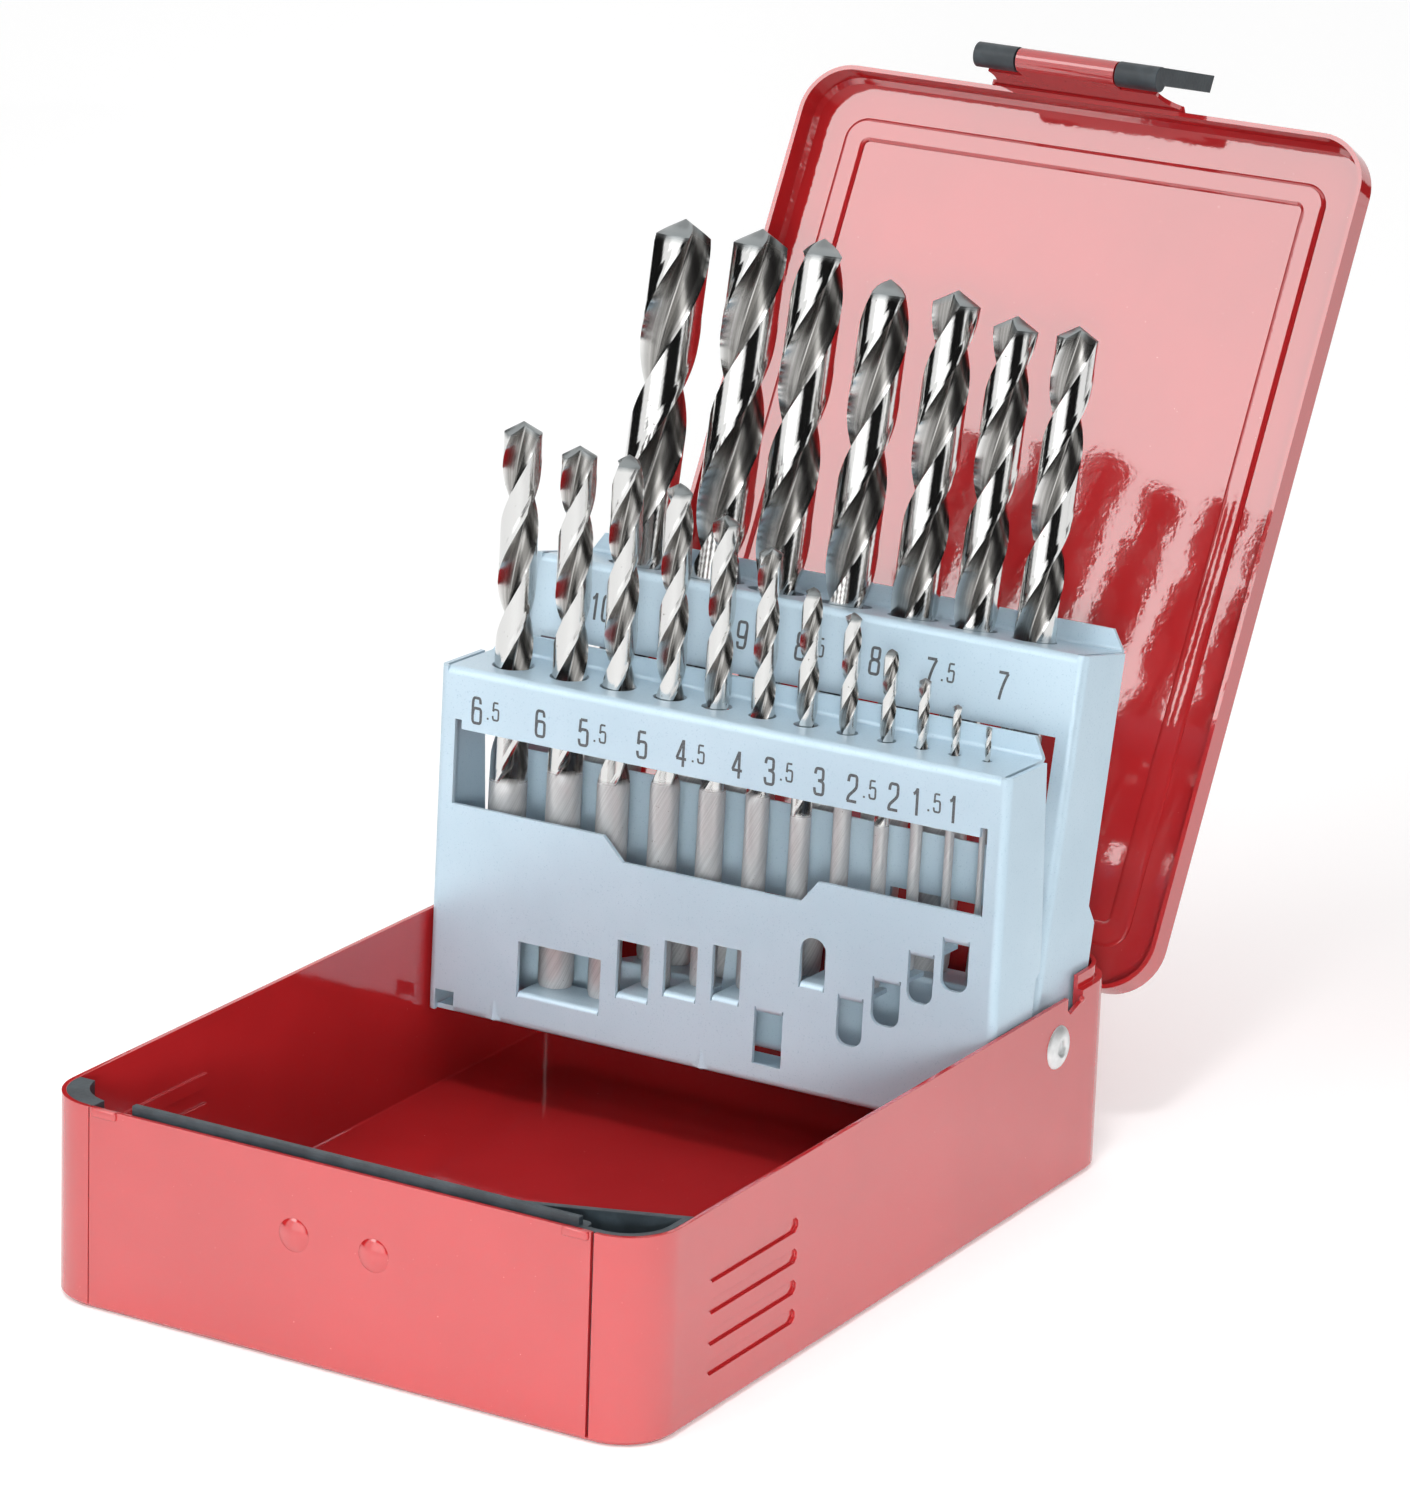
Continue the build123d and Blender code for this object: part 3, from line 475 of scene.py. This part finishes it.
def split_upright_edges(obj, cuts):
    """Divides every edge that runs up a cylinder from end to end."""
    mesh = obj.data
    bpy.ops.object.mode_set(mode="EDIT")
    bpy.ops.mesh.select_mode(type="EDGE")
    bpy.ops.mesh.select_all(action="DESELECT")
    bpy.ops.object.mode_set(mode="OBJECT")
    for edge in mesh.edges:
        low, high = (mesh.vertices[i].co for i in edge.vertices)
        edge.select = abs(high.z - low.z) > hypot(high.x - low.x, high.y - low.y)
    bpy.ops.object.mode_set(mode="EDIT")
    bpy.ops.mesh.subdivide(number_cuts=cuts, quadcorner="INNERVERT")
    bpy.ops.mesh.select_all(action="DESELECT")
    bpy.ops.object.mode_set(mode="OBJECT")


def joined(objects):
    """Joins objects into the first of them."""
    nothing_selected()
    for obj in objects:
        obj.select_set(True)
    bpy.context.view_layer.objects.active = objects[0]
    bpy.ops.object.join()
    return alone(bpy.context.object)


RIVET_TAIL = -3.35           # inner end of the shaft, from the wall's outer face
RIVET_PROFILE = (            # radius and height: recess, ring, domed head, shaft, rolled end
    (0.3, 0.12), (0.95, 0.10), (1.15, 0.22), (1.22, 0.62), (1.40, 0.86), (1.75, 0.97),
    (2.15, 0.93), (2.60, 0.80), (3.10, 0.60), (3.48, 0.36), (3.66, 0.14), (3.70, 0.0),
    (3.6, -0.02), (2.45, -0.02), (2.45, RIVET_TAIL), (3.05, RIVET_TAIL - 0.12),
    (3.28, RIVET_TAIL - 0.30), (3.15, RIVET_TAIL - 0.46), (1.6, RIVET_TAIL - 0.50),
    (1.3, RIVET_TAIL - 0.42), (1.25, RIVET_TAIL + 0.6), (0.3, RIVET_TAIL + 0.7))


def rivets():
    """Pair of tubular rivets, domed heads outside and rolled ends inside."""
    pair = []
    for side in (1, -1):
        rivet = turned(tuple(reversed(RIVET_PROFILE)))
        turn = Matrix.Rotation(radians(90 * side), 4, "Y")
        rivet.data.transform(Matrix.Translation((side * SIDE_X, PIVOT_Y, PIVOT_Z)) @ turn)
        pair.append(rivet)
    rivet = finish_piece(joined(pair), "turned_rack_rivets", "base", RIVET,
                         Matrix.Scale(MM, 4), 40)
    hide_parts("rack_rivets")


BUMP_X = 7.2                 # either side of the middle
BUMP_Z = 20.8
BUMP_RADIUS = 2.75
BUMP_HEIGHT = 0.86
BUMP_SINK = 0.04             # its edge lies this deep in the wall
BUMP_BACK = (0.3, -0.1)
BUMP_CROWN = (0.05, 0.83)
BUMP_RINGS = 9


def bumps():
    """Two domes pressed out of the front wall, which the curl snaps over."""
    steps = [pi / 2 * ring / BUMP_RINGS for ring in range(BUMP_RINGS, 0, -1)]
    rings = [(BUMP_RADIUS * sin(step), BUMP_HEIGHT * cos(step) ** 1.6 - BUMP_SINK)
             for step in steps]
    domes = []
    for x in (-BUMP_X, BUMP_X):
        dome = turned((BUMP_BACK, *rings, BUMP_CROWN))
        turn = Matrix.Rotation(radians(90), 4, "X")
        dome.data.transform(Matrix.Translation((x, FRONT_Y, BUMP_Z)) @ turn)
        domes.append(dome)
    finish_piece(joined(domes), "front_wall_bumps", "base", RED,
                 Matrix.Scale(MM, 4), 60)


DART_XS = (-40.4, 0.0, 40.4)
DART_FOOT_Z = -10.0          # bottom edge of the front rack's face, from the rivets
DART_HEIGHT = 4.2
DART_HALF = 1.5
DART_RIDGE = 0.55            # how far the crease stands out at its foot
DART_NARROWING = 0.45        # share of its width that it loses to its top
DART_SINK = 0.03
DART_TUCK = 0.6              # its last row turns in under the sheet


def darts():
    """Three creases pressed into the front rack's lower bend."""
    made = []
    for x in DART_XS:
        nothing_selected()
        bpy.ops.mesh.primitive_grid_add(x_subdivisions=20, y_subdivisions=12, size=2)
        dart = alone(bpy.context.object)
        for vertex in dart.data.vertices:
            up = (vertex.co.y + 1) / 2
            across = vertex.co.x
            ridge = DART_RIDGE * (1 - up) ** 1.2 * (1 - abs(across)) ** 2.2
            tucked = DART_TUCK if up < 0.01 else 0.0
            vertex.co = (x + across * DART_HALF * (1 - DART_NARROWING * up),
                         -FRONT_FACE - ridge + DART_SINK + tucked,
                         DART_FOOT_Z + DART_HEIGHT * up)
        made.append(dart)
    finish_piece(joined(made), "front_rack_darts", "front_rack_body", PALE,
                 FRONT @ Matrix.Scale(MM, 4), 20)


CLIP_PLACE = (42.4, -76.15, 32.55)
CLIP_SIZE = (4.6, 1.0, 1.5)
DROP_PLACE = (54.8, 62.2, 31.6)
DROP_RADIUS = 0.62
DROP_SHAPE = (0.9, 1.1, 1.0)


def rim_lumps():
    """Folded clips at the front corners and drops of paint in the side notches."""
    lumps = []
    for side in (-1, 1):
        nothing_selected()
        bpy.ops.mesh.primitive_cube_add(size=1, location=(0, 0, 0))
        clip = alone(bpy.context.object)
        x, y, z = CLIP_PLACE
        clip.data.transform(Matrix.Translation((side * x, y, z)) @ Matrix.Diagonal((*CLIP_SIZE, 1)))
        applied(clip, "BEVEL", width=0.35, segments=3)
        lumps.append(clip)
    for side in (-1, 1):
        nothing_selected()
        bpy.ops.mesh.primitive_uv_sphere_add(segments=24, ring_count=12, radius=DROP_RADIUS)
        drop = alone(bpy.context.object)
        x, y, z = DROP_PLACE
        drop.data.transform(Matrix.Translation((side * x, y, z)) @ Matrix.Diagonal((*DROP_SHAPE, 1)))
        lumps.append(drop)
    finish_piece(joined(lumps), "rim_clips_and_drops", "base", RED,
                 Matrix.Scale(MM, 4), 50)


# ---- twist drills -----------------------------------------------------------------------
LEAD_PER_DIAMETER = 6.1      # diameters that a flute climbs in one turn
POINT_HALF_ANGLE = radians(59)
LAND_SPAN = 84.0             # degrees that one land takes of its half turn
MARGIN_SPAN = 14.0           # and its margin of the land
LAND_SHARE = 0.975           # radius of the land behind the margin
LAND_LIMIT = 0.955           # what lies further out than this is land
WEB_SHARE = 0.30             # radius of the web between the flutes
END_SHARE = 0.93             # radius of the shank's chamfered end
RUN_OUT = 0.9                # flutes fade over this many diameters above the shank
ROW_TURN = 9                 # degrees of helix to one row of faces
LEAST_ROWS = 24


def section_reach(heading):
    """Radius of the fluted section, as a share of the drill's, at a heading in degrees."""
    heading = heading % 180
    if heading <= LAND_SPAN:
        return 1.0 if LAND_SPAN - heading < MARGIN_SPAN else LAND_SHARE
    along = (heading - LAND_SPAN) / (180 - LAND_SPAN)
    depth = sin(pi * along ** 0.72) ** 0.80
    return 1.0 - (1.0 - WEB_SHARE) * depth


def drill_node(diameter):
    """Name of the drill's node and body."""
    return f"drill_{diameter:.1f}".replace(".", "_")


def build_drill(diameter, x, shelf, row_y, rack):
    """Twist drill on its shelf: a cylinder drawn in to the fluted section, then twisted."""
    overall, flute = DRILL_LENGTHS[diameter]
    radius = diameter / 2
    cone = radius / tan(POINT_HALF_ANGLE)
    straight = overall - cone
    shank_end = overall - flute
    turn = 360 * overall / (LEAD_PER_DIAMETER * diameter)
    nothing_selected()
    bpy.ops.mesh.primitive_cylinder_add(vertices=60 if diameter > 4 else 48, radius=radius,
                                        depth=straight, end_fill_type="TRIFAN",
                                        location=(0, 0, straight / 2))
    drill = alone(bpy.context.object)
    drill.data.transform(drill.matrix_world)
    drill.matrix_world = Matrix.Identity(4)
    mesh = drill.data
    split_upright_edges(drill, max(LEAST_ROWS, ceil(turn / ROW_TURN)) - 1)
    land, shank, point = (mesh.attributes.new(zone, "FLOAT", "POINT")
                          for zone in ("land", "shank", "point"))
    for vertex in mesh.vertices:
        spot = vertex.co
        height = spot.z
        if hypot(spot.x, spot.y) < 1e-6:
            share = 0
            if height > straight / 2:
                spot.z = overall
        else:
            grown = min(1, max(0, (height - shank_end) / (RUN_OUT * diameter)))
            grown = grown * grown * (3 - 2 * grown)
            share = 1 - (1 - section_reach(degrees(atan2(spot.y, spot.x)) + 0.01)) * grown
            if height < 1e-4:
                share *= END_SHARE
            spot.z += max(0, height / straight * (1 - share) * cone)
            spot.x *= share
            spot.y *= share
        land.data[vertex.index].value = float(share > LAND_LIMIT)
        shank.data[vertex.index].value = float(height < shank_end + diameter / 4)
        point.data[vertex.index].value = float(height > straight - 0.01)
    applied(drill, "SIMPLE_DEFORM", deform_method="TWIST", deform_axis="Z", angle=radians(turn))
    stand = Matrix.Translation(Vector((x, row_y, shelf + SHELF_REST)) * MM)
    name = drill_node(diameter)
    finish_piece(drill, "twist_" + name, name, STEEL,
                 rack @ stand @ Matrix.Scale(MM, 4), 32)
    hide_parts(name)


def drills():
    """Every drill of both racks."""
    for diameter, (x, shelf) in FRONT_DRILLS.items():
        build_drill(diameter, x, shelf, FRONT_ROW - FRONT_FACE, FRONT)
    for diameter, (x, shelf) in REAR_DRILLS.items():
        build_drill(diameter, x, shelf, REAR_ROW - REAR_FACE, REAR)


# ---- size numbers on the racks --------------------------------------------------------------
FRONT_LABELS = (-44.5, -33.7, -23.7, -14.1, -4.9, 4.0, 11.7, 19.3, 27.1, 33.0, 38.9, 43.9)
REAR_LABELS = (-38.2, -24.1, -10.7, 2.2, 14.6, 26.7, 38.3)
FRONT_LABEL_Z = 43.1         # middle of a row of numbers, from the rivets
REAR_LABEL_Z = 57.2
DIGIT_HEIGHT = 4.8
DIGIT_SHARE = 0.86           # digits are drawn on a field half as wide as high, then narrowed
DIGIT_GAP = 0.25
HALF_WIDTH = 3.3             # room that the point and the small five take
HALF_HEIGHT = 3.3
HALF_LEFT = 1.7
HALF_RAISE = 1.2
HALF_WEIGHT = 0.68           # thickness of the small strokes, as a share
DOT_SPAN = (0.75, 1.10)
DOT_RAISE = 0.2
DOT_WEIGHT = 0.7
STROKE = 0.25                # half the line's width
INK_FLATNESS = 0.08          # round strokes are pressed down to this share
INK_LIFT = 0.02

# Strokes of each digit as control points, in hundredths of its height; a curve runs through
# the points of a stroke, and two points make it straight.
DIGITS = {
    "0": [[(25, 95), (6, 95), (6, 50), (6, 5), (25, 5), (44, 5), (44, 50), (44, 95), (25, 95)]],
    "1": [[(27, 2), (27, 97)], [(27, 95), (22, 80), (10, 76)]],
    "2": [[(7, 72), (8, 95), (25, 95), (44, 95), (44, 71), (44, 54), (25, 36), (7, 20), (6, 5)],
          [(3, 5), (46, 5)]],
    "3": [[(7, 75), (8, 95), (25, 95), (42, 95), (42, 74), (42, 54), (20, 53)],
          [(20, 53), (45, 53), (45, 29), (45, 5), (24, 5), (7, 5), (6, 27)]],
    "4": [[(34, 2), (34, 97)], [(33, 95), (5, 31)], [(3, 30), (48, 30)]],
    "5": [[(42, 95), (11, 95)], [(11, 95), (8, 50)],
          [(8, 50), (14, 61), (25, 61), (45, 61), (45, 33), (45, 5), (24, 5), (7, 5), (6, 26)]],
    "6": [[(42, 75), (41, 95), (26, 95), (6, 95), (6, 46), (6, 5), (26, 5), (45, 5), (45, 31),
           (45, 58), (26, 58), (8, 58), (7, 34)]],
    "7": [[(4, 95), (46, 95)], [(45, 94), (24, 55), (18, 2)]],
    "8": [[(25, 54), (8, 55), (8, 75), (8, 95), (25, 95), (42, 95), (42, 75), (42, 55), (25, 54)],
          [(25, 54), (5, 52), (5, 28), (5, 5), (25, 5), (45, 5), (45, 28), (45, 52), (25, 54)]],
    "9": [[(8, 25), (9, 5), (24, 5), (44, 5), (44, 54), (44, 95), (24, 95), (5, 95), (5, 69),
           (5, 42), (24, 42), (42, 42), (43, 66)]],
}


def draw_digit(lines, digit, height, left, low, weight):
    """Adds one digit's strokes to a curve."""
    narrow = height * DIGIT_SHARE / 100
    for stroke in DIGITS[digit]:
        line = lines.splines.new("NURBS")
        line.points.add(len(stroke) - 1)
        for point, (across, up) in zip(line.points, stroke):
            point.co = (left + across * narrow, low + up * height / 100, 0, 1)
            point.radius = weight
        line.order_u = min(3, len(stroke))
        line.use_endpoint_u = True


def draw_half(lines, left, low):
    """Adds the point and the small five of a half size."""
    dot = lines.splines.new("POLY")
    dot.points.add(1)
    for point, across in zip(dot.points, DOT_SPAN):
        point.co = (left + across, low + HALF_RAISE + DOT_RAISE, 0, 1)
        point.radius = DOT_WEIGHT
    draw_digit(lines, "5", HALF_HEIGHT, left + HALF_LEFT, low + HALF_RAISE, HALF_WEIGHT)


def build_labels(name, sizes, centres, row, face, rack, body):
    """One rack's row of size numbers, drawn as flattened strokes on its face."""
    nothing_selected()
    bpy.ops.curve.primitive_nurbs_path_add(location=(0, 0, 0))
    plate = alone(bpy.context.object)
    lines = plate.data
    lines.splines.clear()
    lines.bevel_depth = STROKE
    lines.bevel_resolution = 1
    lines.resolution_u = 4
    lines.use_fill_caps = True
    step = DIGIT_HEIGHT * DIGIT_SHARE * 0.5 + DIGIT_GAP
    low = row - DIGIT_HEIGHT / 2
    for size, centre in zip(sizes, centres):
        whole, half = divmod(size, 1)
        digits = str(int(whole))
        width = step * len(digits) - DIGIT_GAP + (HALF_WIDTH if half else 0)
        left = centre - width / 2
        for digit in digits:
            draw_digit(lines, digit, DIGIT_HEIGHT, left, low, 1.0)
            left += step
        if half:
            draw_half(lines, left, low)
    bpy.ops.object.convert(target="MESH")
    plate = alone(bpy.context.object)
    plate.data.transform(Matrix.Diagonal((1, 1, INK_FLATNESS, 1)))
    upright = Matrix.Translation((0, -face - INK_LIFT, 0)) @ Matrix.Rotation(radians(90), 4, "X")
    finish_piece(plate, name, body, INK, rack @ Matrix.Scale(MM, 4) @ upright)


def labels():
    """Size numbers of both racks."""
    build_labels("front_rack_numbers", FRONT_DRILLS, FRONT_LABELS, FRONT_LABEL_Z, FRONT_FACE,
                 FRONT, "front_rack_body")
    build_labels("rear_rack_numbers", REAR_DRILLS, REAR_LABELS, REAR_LABEL_Z, REAR_FACE,
                 REAR, "rear_rack_body")


# ---- camera, floor and light ------------------------------------------------------------------
CAMERA_LENS = 151.48
CAMERA_TARGET = (0, 0.030756, 0.072144)      # metres
CAMERA_AWAY = 1.02396
CAMERA_BEARING = -60.1025    # degrees round from +X, then up from the floor, then rolled
CAMERA_RISE = 17.2352
CAMERA_ROLL = 1.9972


def build_camera():
    """Camera that looks at the case from its front right corner, slightly from above."""
    data = bpy.data.cameras.new("camera")
    data.lens = CAMERA_LENS
    data.sensor_width = 36
    data.clip_start, data.clip_end = 0.05, 20
    camera = bpy.data.objects.new("camera", data)
    bpy.context.scene.collection.objects.link(camera)
    place = Matrix.Translation(CAMERA_TARGET)
    for angle, axis in ((90 + CAMERA_BEARING, "Z"), (90 - CAMERA_RISE, "X"), (CAMERA_ROLL, "Z")):
        place = place @ Matrix.Rotation(radians(angle), 4, axis)
    camera.matrix_world = place @ Matrix.Translation((0, 0, CAMERA_AWAY))
    bpy.context.scene.camera = camera


FLOOR_SHADE = (0.93, 0.93, 0.93, 1)
FLOOR_GLOW = 0.16            # seen and mirrored only, which keeps the case's shadow


def seen_or_mirrored(tree):
    """1 for camera, glossy and transmission rays, 0 for the light that falls on things."""
    path = node(tree, "ShaderNodeLightPath")
    seen = path.outputs["Is Camera Ray"]
    for other in ("Is Glossy Ray", "Is Transmission Ray"):
        larger = node(tree, "ShaderNodeMath", {0: seen, 1: path.outputs[other]},
                      operation="MAXIMUM")
        seen = larger.outputs[0]
    return seen


def build_floor():
    """Pale floor that takes the shadow."""
    nothing_selected()
    bpy.ops.mesh.primitive_plane_add(size=12, location=(0, 0, -0.0002))
    floor = bpy.context.object
    floor.name = "floor"
    made, tree, shader = material("pale_floor")
    shader.inputs["Base Color"].default_value = FLOOR_SHADE
    shader.inputs["Emission Color"].default_value = (1, 1, 1, 1)
    glow = between(tree, seen_or_mirrored(tree), 0, FLOOR_GLOW)
    tree.links.new(glow, shader.inputs["Emission Strength"])
    shader.inputs["Roughness"].default_value = 0.9
    shader.inputs["Specular IOR Level"].default_value = 0.1
    floor.data.materials.append(made)


def lamp(name, place, target, size, watts):
    """Square lamp at a place, turned towards its target."""
    data = bpy.data.lights.new(name, "AREA")
    data.shape = "RECTANGLE"
    data.size = data.size_y = size
    data.energy = watts
    lit = bpy.data.objects.new(name, data)
    bpy.context.scene.collection.objects.link(lit)
    lit.location = place
    lit.rotation_mode = "QUATERNION"
    lit.rotation_quaternion = (Vector(place) - Vector(target)).to_track_quat("Z", "Y")
    return lit


BEAM_SIZE = 0.3


def beam(name, place, target, spread, watts):
    """Narrow lamp that isn't mirrored anywhere."""
    lit = lamp(name, place, target, BEAM_SIZE, watts)
    lit.data.spread = radians(spread)
    lit.visible_glossy = False


CARD_PANEL = 6               # degrees of one flat panel of a card


def card(name, away, bearings, heights, strength):
    """Curved standing card round the case that only mirrored light meets."""
    start, end = bearings
    panels = ceil((end - start) / CARD_PANEL)
    nothing_selected()
    bpy.ops.mesh.primitive_grid_add(x_subdivisions=panels, y_subdivisions=1, size=2)
    sheet = alone(bpy.context.object)
    for vertex in sheet.data.vertices:
        bearing = radians(start + (end - start) * (vertex.co.x + 1) / 2)
        height = heights[0] + (heights[1] - heights[0]) * (vertex.co.y + 1) / 2
        vertex.co = (away * cos(bearing), away * sin(bearing), height)
    sheet.name = name
    made, tree, shader = material(name)
    shader.inputs["Base Color"].default_value = (0.01, 0.01, 0.01, 1)
    shader.inputs["Specular IOR Level"].default_value = 0
    shader.inputs["Emission Color"].default_value = (1, 1, 1, 1)
    shader.inputs["Emission Strength"].default_value = strength
    sheet.data.materials.append(made)
    sheet.visible_camera = False
    sheet.visible_diffuse = False
    sheet.visible_shadow = False
    sheet.visible_transmission = False


KEY_SIDE = Vector((-0.447, -0.681, 0.581)).normalized()     # where the softbox stands
KEY_TARGET = Vector((0, 0.11, 0.11))
KEY_AWAY = 2.2
KEY_SIZE = 0.9
SKY_FALLING = 0.84           # strength of the surrounding white as light, and as it is seen
SKY_SEEN = 1.0


def build_light():
    """White surroundings, a softbox, two beams, and cards for the drills to mirror."""
    world = bpy.data.worlds.new("studio")
    bpy.context.scene.world = world
    world.use_nodes = True
    tree = world.node_tree
    back = tree.nodes["Background"]
    back.inputs["Color"].default_value = (1, 1, 1, 1)
    strength = between(tree, seen_or_mirrored(tree), SKY_FALLING, SKY_SEEN)
    tree.links.new(strength, back.inputs["Strength"])
    lamp("key_softbox", KEY_TARGET + KEY_SIDE * KEY_AWAY, KEY_TARGET, KEY_SIZE, 5.7)
    beam("front_low_beam", (0.62, -1.15, 0.30), (0, -0.02, 0.035), 15, 0.20)
    beam("tray_beam", (0.08, -0.38, 0.90), (0, -0.03, 0), 12, 0.075)
    card("dark_flag_middle", 0.9, (-62, -12), (0, 0.62), 0)
    card("dark_flag_right", 0.9, (25, 75), (0, 0.7), 0)
    card("dark_flag_high", 0.95, (-112, 80), (0.66, 1.9), 0)
    card("dark_flag_left", 0.9, (130, 215), (0, 0.5), 0)
    card("bright_card_left", 0.9, (-118, -72), (0, 0.5), 1.6)


build_camera()
build_floor()
build_light()
sheet_pieces()
plastic_pieces()
drills()
labels()
rivets()
bumps()
darts()
rim_lumps()
hinge_pin()

bpy.context.scene.view_settings.view_transform = "Standard"
